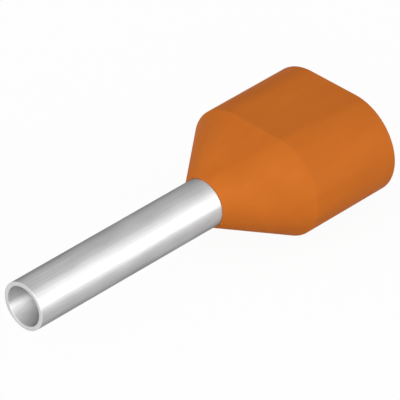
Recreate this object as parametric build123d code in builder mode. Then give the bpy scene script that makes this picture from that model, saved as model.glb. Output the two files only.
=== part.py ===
"""A twin wire ferrule: a tinned crimp sleeve in a flared plastic collar for two wires side by side.

Millimetres. +X runs along the ferrule's axis from the sleeve's open tip to the collar's mouth,
Y is the collar's width and +Z is up. The origin is the centre of the sleeve's tip.
"""

import os

from build123d import *

# Sleeve: a drawn tube, belled out at its hidden end
sleeve_bore = 1.4  # diameter
sleeve_wall = 0.15
exposed_length = 8.0  # straight tube in front of the collar
bell_bend = 3.0  # radius of the bend into the bell, on the bore's side
bell_angle = 18.0  # between the belled wall and the axis, in degrees
bell_run = 0.65  # straight part of the belled wall, measured along it
tip_rounding = 0.03

# Collar: one moulding, round at its front and a stadium from the crease to its mouth
collar_width = 5.6
collar_height = 3.6
collar_wall = 0.45  # round the cavity
front_land = 0.04  # rim of plastic round the tube at the collar's front
taper_length = 2.4  # from the collar's front to the crease
straight_length = 3.6  # from the crease to the mouth
funnel_length = 1.2  # from the sleeve's belled rim to the full cavity
mouth_rounding = 0.05
mouth_lead_in = 0.1

# Places that follow from the sizes
sleeve_radius = sleeve_bore / 2 + sleeve_wall
crease_x = exposed_length + taper_length
mouth_x = crease_x + straight_length
cavity_width = collar_width - 2 * collar_wall
cavity_height = collar_height - 2 * collar_wall


def tube_line(depth):
    """Draw the sleeve's outline at a depth in its wall, from the tip to the belled rim.

    Depth 0 is the bore and the wall's thickness is the outside. The bell starts at the collar's
    front. Returns the line's two ends.
    """
    radius = sleeve_bore / 2 + depth
    straight = Line((0, radius), (exposed_length, radius))
    bend = JernArc(straight @ 1, straight % 1, bell_bend - depth, bell_angle)
    bell = PolarLine(bend @ 1, bell_run, bell_angle)
    return straight @ 0, bell @ 1


def round_to_stadium(start_x, start_radius, end_x, end_width, end_height):
    """A solid that opens along X from a circle to a stadium, with straight walls all round.

    Two oblique half cones, one for each round end, stand either side of a flat wedge that
    narrows to a line at the circle.
    """
    end_radius = end_height / 2
    spread = end_width / 2 - end_radius
    with BuildPart() as opening_form:
        for x, radius, centre in ((start_x, start_radius, 0), (end_x, end_radius, spread)):
            with BuildSketch(Plane.YZ.offset(x)):
                with BuildLine():
                    CenterArc((centre, 0), radius, -90, 180)
                    Line((centre, -radius), (centre, radius))
                make_face()
        loft(ruled=True)
        mirror(about=Plane.XZ)
        with Locations(Plane(origin=(end_x, 0, 0), x_dir=(0, 1, 0), z_dir=(0, 0, 1))):
            Wedge(
                2 * spread,
                end_x - start_x,
                2 * end_radius,
                xmin=spread,
                zmin=end_radius - start_radius,
                xmax=spread,
                zmax=end_radius + start_radius,
                align=(Align.CENTER, Align.MIN, Align.CENTER),
            )
    return opening_form.part


# The tinned tube, as a wall of one thickness turned about the axis
with BuildPart() as contact_sleeve:
    with BuildSketch():
        with BuildLine():
            bore_tip, bore_rim = tube_line(0)
            outside_tip, outside_rim = tube_line(sleeve_wall)
            Line(bore_tip, outside_tip)
            Line(bore_rim, outside_rim)
        make_face()
    revolve(axis=Axis.X)
    tip_edges = contact_sleeve.faces().sort_by(Axis.X)[0].edges()
    fillet(tip_edges, tip_rounding)

# The room that the sleeve takes up in the collar, its bore filled in
with BuildPart() as sleeve_room:
    with BuildSketch():
        with BuildLine():
            room_tip, room_rim = tube_line(sleeve_wall)
            Polyline(room_rim, (room_rim.X, 0), (0, 0), room_tip)
        make_face()
    revolve(axis=Axis.X)

# The funnel carries on from the outer edge of the sleeve's rim
cavity_x = room_rim.X + funnel_length
outer_taper = round_to_stadium(
    exposed_length, sleeve_radius + front_land, crease_x, collar_width, collar_height
)
funnel = round_to_stadium(room_rim.X, room_rim.Y, cavity_x, cavity_width, cavity_height)

# The moulded collar: taper and straight part, then the seat, funnel and cavity inside
with BuildPart() as insulating_collar:
    add(outer_taper)
    with BuildSketch(Plane.YZ.offset(crease_x)):
        SlotOverall(collar_width, collar_height)
    extrude(amount=straight_length)
    add(sleeve_room.part, mode=Mode.SUBTRACT)
    add(funnel, mode=Mode.SUBTRACT)
    with BuildSketch(Plane.YZ.offset(cavity_x)):
        SlotOverall(cavity_width, cavity_height)
    extrude(amount=mouth_x - cavity_x, mode=Mode.SUBTRACT)
    mouth = insulating_collar.faces().sort_by(Axis.X)[-1]
    fillet(mouth.outer_wire().edges(), mouth_rounding)
    mouth = insulating_collar.faces().filter_by(Plane.YZ).sort_by(Axis.X)[-1]
    chamfer(mouth.inner_wires()[0].edges(), mouth_lead_in)

os.makedirs("parts", exist_ok=True)
contact_sleeve.part.label = "contact_sleeve"
insulating_collar.part.label = "insulating_collar"
export_step(contact_sleeve.part, "parts/contact_sleeve.step")
export_step(insulating_collar.part, "parts/insulating_collar.step")
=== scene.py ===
"""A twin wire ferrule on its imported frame: a tinned crimp sleeve in an orange plastic collar."""

import math

import bmesh
import bpy
from mathutils import Matrix, Vector


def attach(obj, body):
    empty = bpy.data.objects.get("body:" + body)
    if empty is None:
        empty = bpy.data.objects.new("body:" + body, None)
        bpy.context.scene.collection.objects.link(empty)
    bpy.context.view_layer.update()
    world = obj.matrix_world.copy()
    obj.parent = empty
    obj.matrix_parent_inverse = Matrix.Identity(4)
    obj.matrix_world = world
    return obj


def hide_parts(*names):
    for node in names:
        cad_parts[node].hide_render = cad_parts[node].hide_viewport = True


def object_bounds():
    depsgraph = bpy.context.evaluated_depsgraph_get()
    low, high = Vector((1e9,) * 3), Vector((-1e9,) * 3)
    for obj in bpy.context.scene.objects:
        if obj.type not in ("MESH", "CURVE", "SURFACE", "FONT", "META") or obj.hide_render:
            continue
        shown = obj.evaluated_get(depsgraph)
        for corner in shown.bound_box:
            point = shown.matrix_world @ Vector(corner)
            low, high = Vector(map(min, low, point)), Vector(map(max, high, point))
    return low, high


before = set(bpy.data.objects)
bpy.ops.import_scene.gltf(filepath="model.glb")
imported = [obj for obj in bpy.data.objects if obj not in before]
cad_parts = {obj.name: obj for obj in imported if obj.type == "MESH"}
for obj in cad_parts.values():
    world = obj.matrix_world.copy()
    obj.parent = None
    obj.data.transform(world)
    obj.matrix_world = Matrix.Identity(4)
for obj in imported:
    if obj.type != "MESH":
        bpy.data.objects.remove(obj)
cad_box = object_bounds()

MM = 0.001
BODY = "root"
MIDDLE = Vector((7.0, 0, 0)) * MM  # half way along the ferrule

# Sleeve, as in the part: straight to the collar's front, then belled out
BORE_RADIUS = 0.7 * MM
SLEEVE_WALL = 0.15 * MM
SLEEVE_RADIUS = BORE_RADIUS + SLEEVE_WALL
EXPOSED_LENGTH = 8.0 * MM
BELL_BEND = 3.0 * MM
BELL_ANGLE = math.radians(18)
BELL_RUN = 0.65 * MM
TIP_ROUNDING = 0.015 * MM
RIM_ROUNDING = 0.02 * MM

# Collar, as in the part: a circle at its front, a stadium from the crease to the mouth
COLLAR_SPREAD = 1.0 * MM
COLLAR_RADIUS = 1.8 * MM
COLLAR_WALL = 0.45 * MM
FRONT_LAND = 0.04 * MM
TAPER_LENGTH = 2.4 * MM
FUNNEL_LENGTH = 1.2 * MM
MOUTH_LEAD_IN = 0.1 * MM
MOUTH_ROUNDING = 0.025 * MM
CREASE_ROUNDING = 0.02 * MM
FRONT_ROUNDING = 0.015 * MM

# Tin, its colours as reflected light, red, green and blue
TIN_DARK = (0.34, 0.34, 0.34)
TIN_PALE = (0.96, 0.96, 0.96)
TIN_EDGE = (0.15, 0.15, 0.15)
SHADE_OUTSIDE = 0.53  # from the dark to the pale tin
# the cut end's tin made paler than the outside: a painted highlight on the end face
CUT_END_PAINTED_HIGHLIGHT = 0.94
# the bore's tin made darker than the outside: painted shade in the hollow
BORE_PAINTED_SHADE = 0.42
TIN_ROUGHNESS = 0.42
BORE_ROUGHNESS = 0.4
CLOUD_CONTRAST = 0.14  # each way, on the same scale as the shades
LINE_CONTRAST = 0.18
LINES_IN_BORE = 0.4  # of their height outside, which leaves the bore a little darker, adding to its painted shade
LINE_HEIGHT = 0.0022  # this and the next three in millimetres
GRAIN_HEIGHT = 0.002
REAMED_DEPTH = 0.010
REAMED_SPACING = 0.02
CUT_END = (0.01 * MM, 0.03 * MM)  # where the cut end's painted highlight gives way to the outside's tin

# Plastic
ORANGE_DEEP = (0.585, 0.151, 0.0200)
ORANGE_PALE = (0.708, 0.188, 0.0256)
PLASTIC_ROUGHNESS = 0.5
PLASTIC_IOR = 1.08  # a weak gloss, as on matt polypropylene
FLOW_HEIGHT = 0.003  # in millimetres, as is the next
MOULD_GRAIN_HEIGHT = 0.003

# Mesh
MERGE_WITHIN = 0.0001 * MM
SLEEVE_STEPS = 256
HALF_RING_STEPS = 96
BELL_STEPS = 12
ROUNDING_STEPS = 4

# Camera, its angles in degrees and its shift from the ferrule's middle
CAMERA_AZIMUTH = -45.19
CAMERA_ELEVATION = 34.84
CAMERA_DISTANCE = 164.35 * MM
CAMERA_LENS = 462.3
AIM_RIGHT = 0.580 * MM
AIM_UP = 0.488 * MM

# Studio: a level of 1 is white, and the sizes are in metres
WORLD_LIGHT = 0.35
STUDIO_FRONT = 1.05
STUDIO_BACK = 0.39
STUDIO_LEFT_SHARE = 0.3  # of the level straight ahead
FLOOR_HALF_SIZE = 0.6
FLOOR_GREY = 0.45
FLOOR_WHITE_SHARE = 0.95  # the rest takes the shadow
FLOOR_REFLECTED_SHARE = 0.58
LAMP_DISTANCE = 0.4


def direction(azimuth, elevation):
    """The unit vector towards a viewer at these angles, in degrees; azimuth 0 is towards -Y."""
    turn, rise = math.radians(azimuth), math.radians(elevation)
    return Vector(
        (math.sin(turn) * math.cos(rise), -math.cos(turn) * math.cos(rise), math.sin(rise))
    )


def in_scene(name, data):
    """A new object of this data in the scene."""
    new_object = bpy.data.objects.new(name, data)
    bpy.context.scene.collection.objects.link(new_object)
    return new_object


def set_back(thing, aim, back, distance):
    """Put a camera or lamp at this distance back from a point, and turn it to the point."""
    thing.location = aim + back * distance
    thing.rotation_mode = "QUATERNION"
    thing.rotation_quaternion = (-back).to_track_quat("-Z", "Y")


# Camera


def make_camera():
    """A long lens that looks down on the ferrule from its tip's side."""
    back = direction(CAMERA_AZIMUTH, CAMERA_ELEVATION)
    right = Vector((0, 0, 1)).cross(back).normalized()
    up = back.cross(right)
    aim = MIDDLE + right * AIM_RIGHT + up * AIM_UP
    lens = bpy.data.cameras.new("camera")
    lens.lens = CAMERA_LENS
    lens.clip_start = 1 * MM
    lens.clip_end = 10.0
    camera = in_scene("camera", lens)
    set_back(camera, aim, back, CAMERA_DISTANCE)
    bpy.context.scene.camera = camera


# Sleeve


def sleeve_line(depth):
    """The sleeve's outline at a depth in its wall, from the tip to the belled rim."""
    bend = BELL_BEND - depth
    centre = Vector((EXPOSED_LENGTH, 0, BORE_RADIUS + BELL_BEND))
    line = [Vector((0, 0, BORE_RADIUS + depth))]
    for step in range(BELL_STEPS + 1):
        turn = BELL_ANGLE * step / BELL_STEPS
        line.append(centre + bend * Vector((math.sin(turn), 0, -math.cos(turn))))
    run = BELL_RUN * Vector((math.cos(BELL_ANGLE), 0, math.sin(BELL_ANGLE)))
    line.append(line[-1] + run)
    return line


def make_sleeve(material):
    """The tube: its wall's section spun round the axis, with its tip deburred."""
    section = sleeve_line(0) + sleeve_line(SLEEVE_WALL)[::-1]
    bm = bmesh.new()
    corners = [bm.verts.new(point) for point in section]
    sides = [bm.edges.new((corners[i - 1], corners[i])) for i in range(len(corners))]
    bmesh.ops.spin(
        bm,
        geom=corners + sides,
        axis=(1, 0, 0),
        cent=(0, 0, 0),
        angle=2 * math.pi,
        steps=SLEEVE_STEPS,
        use_merge=True,
    )
    bmesh.ops.remove_doubles(bm, verts=bm.verts, dist=MERGE_WITHIN)
    rim_inside, rim_outside = sleeve_line(0)[-1], sleeve_line(SLEEVE_WALL)[-1]
    round_ring(bm, 0, 0, BORE_RADIUS, TIP_ROUNDING)
    round_ring(bm, 0, 0, SLEEVE_RADIUS, TIP_ROUNDING)
    round_ring(bm, rim_inside.x, 0, rim_inside.z, RIM_ROUNDING)
    round_ring(bm, rim_outside.x, 0, rim_outside.z, RIM_ROUNDING)
    return finish_piece(bm, "crimp_sleeve", material)


# Collar


class CollarSkin:
    """The collar's skin, grown ring by ring from a stadium-shaped loop of edges.

    Each vertex keeps the side of the axis that its half ring stands on, so that the flats can
    close to a point where the collar is round.
    """

    def __init__(self, x, spread, radius):
        self.bm = bmesh.new()
        self.side = self.bm.verts.layers.int.new("side")
        self.place = (x, spread, radius)
        ends = []
        for side in (1, -1):
            before = set(self.bm.verts)
            start = self.bm.verts.new((x, side * spread, -side * radius))
            bmesh.ops.spin(
                self.bm,
                geom=[start],
                axis=(1, 0, 0),
                cent=(x, side * spread, 0),
                angle=math.pi,
                steps=HALF_RING_STEPS,
            )
            half = [vert for vert in self.bm.verts if vert not in before]
            for vert in half:
                vert[self.side] = side
            ends.append((start, max(half, key=lambda vert: side * vert.co.z)))
        self.bm.edges.new((ends[0][1], ends[1][0]))
        self.bm.edges.new((ends[1][1], ends[0][0]))
        self.rim = list(self.bm.edges)

    def grow(self, x, spread, radius):
        """Extrude the rim to a ring at x of this spread and radius."""
        old_x, old_spread, old_radius = self.place
        grown = bmesh.ops.extrude_edge_only(self.bm, edges=self.rim)["geom"]
        verts = [item for item in grown if isinstance(item, bmesh.types.BMVert)]
        self.rim = [item for item in grown if isinstance(item, bmesh.types.BMEdge)]
        swell = radius / old_radius
        for side in (1, -1):
            half = [vert for vert in verts if vert[self.side] == side]
            bmesh.ops.scale(
                self.bm,
                vec=(1, swell, swell),
                space=Matrix.Translation((0, -side * old_spread, 0)),
                verts=half,
            )
            bmesh.ops.translate(
                self.bm, vec=(x - old_x, side * (spread - old_spread), 0), verts=half
            )
        self.place = (x, spread, radius)


def make_collar(material):
    """The moulding: outside from the mouth to the front, then back inside along the sleeve."""
    front = EXPOSED_LENGTH
    crease = front + TAPER_LENGTH
    mouth = cad_box[1].x
    cavity_radius = COLLAR_RADIUS - COLLAR_WALL
    seat = sleeve_line(SLEEVE_WALL)[1:]
    cavity = seat[-1].x + FUNNEL_LENGTH

    skin = CollarSkin(mouth, COLLAR_SPREAD, COLLAR_RADIUS)
    skin.grow(crease, COLLAR_SPREAD, COLLAR_RADIUS)
    skin.grow(front, 0, SLEEVE_RADIUS + FRONT_LAND)
    for point in seat:
        skin.grow(point.x, 0, point.z)
    skin.grow(cavity, COLLAR_SPREAD, cavity_radius)
    skin.grow(mouth - MOUTH_LEAD_IN, COLLAR_SPREAD, cavity_radius)
    skin.grow(mouth, COLLAR_SPREAD, cavity_radius + MOUTH_LEAD_IN)
    skin.grow(mouth, COLLAR_SPREAD, COLLAR_RADIUS)

    bmesh.ops.remove_doubles(skin.bm, verts=skin.bm.verts, dist=MERGE_WITHIN)
    round_ring(skin.bm, mouth, COLLAR_SPREAD, COLLAR_RADIUS, MOUTH_ROUNDING)
    round_ring(skin.bm, crease, COLLAR_SPREAD, COLLAR_RADIUS, CREASE_ROUNDING)
    round_ring(skin.bm, front, 0, SLEEVE_RADIUS + FRONT_LAND, FRONT_ROUNDING)
    return finish_piece(skin.bm, "moulded_collar", material)


def round_ring(bm, x, spread, radius, rounding):
    """Round off the ring of edges at x that is a stadium, or a circle, of this spread and radius."""

    def on_ring(vert):
        off_spine = math.hypot(max(abs(vert.co.y) - spread, 0), vert.co.z)
        return abs(vert.co.x - x) < MERGE_WITHIN and abs(off_spine - radius) < MERGE_WITHIN

    ring = [edge for edge in bm.edges if on_ring(edge.verts[0]) and on_ring(edge.verts[1])]
    bmesh.ops.bevel(
        bm,
        geom=ring,
        offset=rounding,
        segments=ROUNDING_STEPS,
        profile=0.5,
        affect="EDGES",
        material=-1,
    )


def finish_piece(bm, name, material):
    """Make a closed bmesh a smooth piece that rides on the ferrule, its place in its mesh."""
    bmesh.ops.remove_doubles(bm, verts=bm.verts, dist=MERGE_WITHIN)
    bmesh.ops.recalc_face_normals(bm, faces=bm.faces)
    for face in bm.faces:
        face.smooth = True
    mesh = bpy.data.meshes.new(name)
    bm.to_mesh(mesh)
    bm.free()
    mesh.materials.append(material)
    piece = in_scene(name, mesh)
    piece.modifiers.new("even_normals", "WEIGHTED_NORMAL")
    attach(piece, BODY)
    return piece


# Materials


class Finish:
    """A procedural material, with its shader and the object's own coordinates, in metres."""

    def __init__(self, name):
        self.material = bpy.data.materials.new(name)
        self.material.use_nodes = True
        self.nodes = self.material.node_tree.nodes
        self.links = self.material.node_tree.links
        self.shader = self.nodes["Principled BSDF"]
        self.place = self.nodes.new("ShaderNodeTexCoord").outputs["Object"]

    def pattern(self, label, size_mm, detail):
        """Noise whose marks are this long along X, Y and Z, as a factor about 0.5."""
        stretch = self.nodes.new("ShaderNodeMapping")
        stretch.inputs["Scale"].default_value = [1 / (size * MM) for size in size_mm]
        self.links.new(self.place, stretch.inputs["Vector"])
        noise = self.nodes.new("ShaderNodeTexNoise")
        noise.label = label
        noise.inputs["Scale"].default_value = 1.0
        noise.inputs["Detail"].default_value = detail
        self.links.new(stretch.outputs["Vector"], noise.inputs["Vector"])
        return noise.outputs["Fac"]

    def rings(self, label, spacing_mm):
        """Fine ridges round the axis at this spacing along X, their gentle sides towards the tip.

        At a scale of 1 the waves repeat every tenth of pi.
        """
        wave = self.nodes.new("ShaderNodeTexWave")
        wave.label = label
        wave.wave_type = "BANDS"
        wave.bands_direction = "X"
        wave.wave_profile = "SAW"
        wave.inputs["Scale"].default_value = math.pi / (10 * spacing_mm * MM)
        self.links.new(self.place, wave.inputs["Vector"])
        return wave.outputs["Fac"]

    def spread(self, factor, low, high, start=0.0, end=1.0):
        """The range from start to end of a factor, spread from low to high."""
        scale = self.nodes.new("ShaderNodeMapRange")
        scale.inputs["From Min"].default_value = start
        scale.inputs["From Max"].default_value = end
        scale.inputs["To Min"].default_value = low
        scale.inputs["To Max"].default_value = high
        self.links.new(factor, scale.inputs["Value"])
        return scale.outputs["Result"]

    def swing(self, factor, reach):
        """A factor about 0.5 as a change of up to this much either way."""
        return self.spread(factor, -reach, reach)

    def calculate(self, operation, first, second):
        """The result of a Math node on two factors, the second of which may be a number."""
        step = self.nodes.new("ShaderNodeMath")
        step.operation = operation
        self.links.new(first, step.inputs[0])
        if isinstance(second, float):
            step.inputs[1].default_value = second
        else:
            self.links.new(second, step.inputs[1])
        return step.outputs["Value"]

    def tint(self, factor, low, high):
        """A colour that goes from low to high with the factor, as red, green and blue."""
        mix = self.nodes.new("ShaderNodeMix")
        mix.data_type = "RGBA"
        ends = [socket for socket in mix.inputs if socket.type == "RGBA"]
        for socket, colour in zip(ends, (low, high)):
            socket.default_value = (*colour, 1)
        self.links.new(factor, mix.inputs["Factor"])
        return next(socket for socket in mix.outputs if socket.type == "RGBA")

    def raise_by(self, factor, height_mm, normal=None):
        """Bump the surface up to this height where the factor is 1, on top of an earlier bump."""
        bump = self.nodes.new("ShaderNodeBump")
        bump.inputs["Distance"].default_value = height_mm * MM
        self.links.new(factor, bump.inputs["Height"])
        if normal:
            self.links.new(normal, bump.inputs["Normal"])
        return bump.outputs["Normal"]

    def use(self, name, value):
        """Give an input of the shader a fixed value, or link it to a socket."""
        if isinstance(value, bpy.types.NodeSocket):
            self.links.new(value, self.shader.inputs[name])
        else:
            self.shader.inputs[name].default_value = value

    def in_bore(self):
        """1 where the surface faces the ferrule's axis, which is inside, and 0 where it faces out."""
        across = self.nodes.new("ShaderNodeVectorMath")
        across.operation = "MULTIPLY"
        across.inputs[1].default_value = (0, 1, 1)
        self.links.new(self.place, across.inputs[0])
        facing = self.nodes.new("ShaderNodeVectorMath")
        facing.operation = "DOT_PRODUCT"
        self.links.new(across.outputs["Vector"], facing.inputs[0])
        surface = self.nodes.new("ShaderNodeNewGeometry")
        self.links.new(surface.outputs["Normal"], facing.inputs[1])
        inwards = -0.2 * MM  # this is 0 on the tip's cut end and -0.7 mm on the bore's wall
        return self.calculate("LESS_THAN", facing.outputs["Value"], inwards)

    def from_tip(self):
        """The distance from the sleeve's tip along X, in metres."""
        parts = self.nodes.new("ShaderNodeSeparateXYZ")
        self.links.new(self.place, parts.inputs["Vector"])
        return parts.outputs["X"]


def satin_tin():
    """Tin plating on a drawn copper tube: lengthwise drawing lines under a fine satin grain."""
    finish = Finish("satin_tin")
    finish.use("Metallic", 1.0)
    finish.use("Specular Tint", (*TIN_EDGE, 1))
    drawing_lines = finish.pattern("drawing lines", size_mm=(2.5, 0.05, 0.05), detail=3)
    grain = finish.pattern("satin grain", size_mm=(0.05, 0.05, 0.05), detail=2)
    clouds = finish.pattern("uneven plating", size_mm=(1.4, 0.6, 0.6), detail=2)

    bore = finish.in_bore()
    lines = finish.calculate("MULTIPLY", drawing_lines, finish.spread(bore, 1, LINES_IN_BORE))
    tip = finish.spread(finish.from_tip(), 1, 0, *CUT_END)
    # the cut end made paler than the outside: a painted highlight on the end face
    outside = finish.spread(tip, SHADE_OUTSIDE, CUT_END_PAINTED_HIGHLIGHT)
    # the bore made darker than the outside: painted shade in the hollow, so plain carries painted
    # highlight and painted shade
    plain = finish.calculate("ADD", outside, finish.spread(bore, 0, BORE_PAINTED_SHADE - SHADE_OUTSIDE))
    cloudy = finish.calculate("ADD", plain, finish.swing(clouds, CLOUD_CONTRAST))
    streaked = finish.calculate("ADD", cloudy, finish.swing(lines, LINE_CONTRAST))
    finish.use("Base Color", finish.tint(streaked, TIN_DARK, TIN_PALE))

    smooth = finish.spread(bore, TIN_ROUGHNESS, BORE_ROUGHNESS)
    patchy = finish.calculate("ADD", smooth, finish.swing(clouds, 0.06))
    finish.use("Roughness", finish.calculate("ADD", patchy, finish.swing(grain, 0.05)))
    drawn = finish.raise_by(lines, LINE_HEIGHT)
    satin = finish.raise_by(grain, GRAIN_HEIGHT, normal=drawn)
    marks = finish.rings("reaming marks", REAMED_SPACING)
    reamed = finish.calculate("MULTIPLY", marks, bore)
    finish.use("Normal", finish.raise_by(reamed, REAMED_DEPTH, normal=satin))
    return finish.material


def moulded_orange():
    """Moulded polypropylene: an even orange with the fine matt grain of its mould."""
    finish = Finish("moulded_orange")
    finish.use("IOR", PLASTIC_IOR)
    grain = finish.pattern("mould grain", size_mm=(0.09, 0.09, 0.09), detail=3)
    flow = finish.pattern("flow marks", size_mm=(2.6, 0.9, 0.9), detail=2)

    finish.use("Base Color", finish.tint(flow, ORANGE_DEEP, ORANGE_PALE))
    uneven = finish.calculate("ADD", finish.swing(flow, 0.05), PLASTIC_ROUGHNESS)
    finish.use("Roughness", finish.calculate("ADD", uneven, finish.swing(grain, 0.08)))
    swell = finish.raise_by(flow, FLOW_HEIGHT)
    finish.use("Normal", finish.raise_by(grain, MOULD_GRAIN_HEIGHT, normal=swell))
    return finish.material


# Stage


class RayLevel:
    """A level that starts as the one for matt surfaces and is chosen by kind of ray."""

    def __init__(self, nodes, links, plain):
        self.nodes, self.links = nodes, links
        self.path = nodes.new("ShaderNodeLightPath")
        start = nodes.new("ShaderNodeValue")
        start.label = "level on matt surfaces"
        start.outputs["Value"].default_value = plain
        self.level = start.outputs["Value"]

    def choose(self, ray, level):
        """Take this level, a number or a socket, for this kind of ray."""
        mix = self.nodes.new("ShaderNodeMix")
        self.links.new(self.path.outputs[ray], mix.inputs["Factor"])
        self.links.new(self.level, mix.inputs["A"])
        if isinstance(level, float):
            mix.inputs["B"].default_value = level
        else:
            self.links.new(level, mix.inputs["B"])
        self.level = mix.outputs["Result"]


def fade_across(nodes, links, place, label, low, high, end=1.0):
    """A level that goes from low where the place is -1 to high where it reaches the end."""
    fade = nodes.new("ShaderNodeMapRange")
    fade.label = label
    fade.inputs["From Min"].default_value = -1.0
    fade.inputs["From Max"].default_value = end
    fade.inputs["To Min"].default_value = low
    fade.inputs["To Max"].default_value = high
    links.new(place, fade.inputs["Value"])
    return fade.outputs["Result"]


def make_world():
    """White behind the ferrule, and a studio for metal to reflect.

    The studio is white in front, grey behind and darker to the left.
    """
    world = bpy.data.worlds.new("studio")
    bpy.context.scene.world = world
    world.use_nodes = True
    nodes, links = world.node_tree.nodes, world.node_tree.links
    background = nodes["Background"]
    background.inputs["Color"].default_value = (1, 1, 1, 1)
    towards = nodes.new("ShaderNodeTexCoord")
    parts = nodes.new("ShaderNodeSeparateXYZ")
    links.new(towards.outputs["Generated"], parts.inputs["Vector"])
    front_to_back, left_to_right = parts.outputs["Y"], parts.outputs["X"]
    behind = fade_across(nodes, links, front_to_back, "greyer behind", STUDIO_FRONT, STUDIO_BACK)
    left = fade_across(
        nodes, links, left_to_right, "darker to the left", STUDIO_LEFT_SHARE, 1.0, end=0.0
    )
    studio = nodes.new("ShaderNodeMath")
    studio.operation = "MULTIPLY"
    links.new(behind, studio.inputs[0])
    links.new(left, studio.inputs[1])
    strength = RayLevel(nodes, links, WORLD_LIGHT)
    strength.choose("Is Glossy Ray", studio.outputs["Value"])
    strength.choose("Is Transmission Ray", 1.0)
    strength.choose("Is Camera Ray", 1.0)
    links.new(strength.level, background.inputs["Strength"])


def make_floor():
    """A level white floor that keeps a pale shadow round the ferrule."""
    bm = bmesh.new()
    bmesh.ops.create_grid(bm, x_segments=1, y_segments=1, size=FLOOR_HALF_SIZE)
    bmesh.ops.translate(bm, vec=(MIDDLE.x, 0, cad_box[0].z), verts=bm.verts)
    mesh = bpy.data.meshes.new("floor")
    bm.to_mesh(mesh)
    bm.free()
    material = bpy.data.materials.new("white_floor")
    material.use_nodes = True
    nodes, links = material.node_tree.nodes, material.node_tree.links
    nodes.remove(nodes["Principled BSDF"])
    matt = nodes.new("ShaderNodeBsdfDiffuse")
    grey = RayLevel(nodes, links, FLOOR_GREY)
    grey.choose("Is Camera Ray", 1.0)
    links.new(grey.level, matt.inputs["Color"])
    white = nodes.new("ShaderNodeEmission")
    white.inputs["Strength"].default_value = 1.0
    share = RayLevel(nodes, links, 0.0)
    share.choose("Is Glossy Ray", FLOOR_REFLECTED_SHARE)
    share.choose("Is Transmission Ray", FLOOR_WHITE_SHARE)
    share.choose("Is Camera Ray", FLOOR_WHITE_SHARE)
    mix = nodes.new("ShaderNodeMixShader")
    links.new(share.level, mix.inputs["Fac"])
    links.new(matt.outputs["BSDF"], mix.inputs[1])
    links.new(white.outputs["Emission"], mix.inputs[2])
    links.new(mix.outputs["Shader"], nodes["Material Output"].inputs["Surface"])
    mesh.materials.append(material)
    in_scene("floor", mesh)


def make_softbox(name, azimuth, elevation, size, level):
    """A round soft lamp that lights a white face turned to it to this level."""
    lamp = bpy.data.lights.new(name, "AREA")
    lamp.shape = "DISK"
    lamp.size = size
    lamp.energy = level * math.pi**2 * (LAMP_DISTANCE**2 + (size / 2) ** 2)
    softbox = in_scene(name, lamp)
    softbox.visible_camera = False
    set_back(softbox, MIDDLE, direction(azimuth, elevation), LAMP_DISTANCE)


make_camera()
sleeve = make_sleeve(satin_tin())
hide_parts("contact_sleeve")
collar = make_collar(moulded_orange())
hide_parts("insulating_collar")
make_world()
make_floor()
make_softbox("left_softbox", azimuth=-72, elevation=15, size=0.66, level=0.585)
make_softbox("front_softbox", azimuth=-27, elevation=8, size=0.3, level=0.23)
make_softbox("side_softbox", azimuth=36.3, elevation=9.0, size=0.3, level=0.218)
make_softbox("upper_softbox", azimuth=48.1, elevation=38.0, size=0.4, level=0.108)
make_softbox("back_softbox", azimuth=-155, elevation=35, size=0.9, level=0.167)

bpy.context.scene.view_settings.view_transform = "Standard"
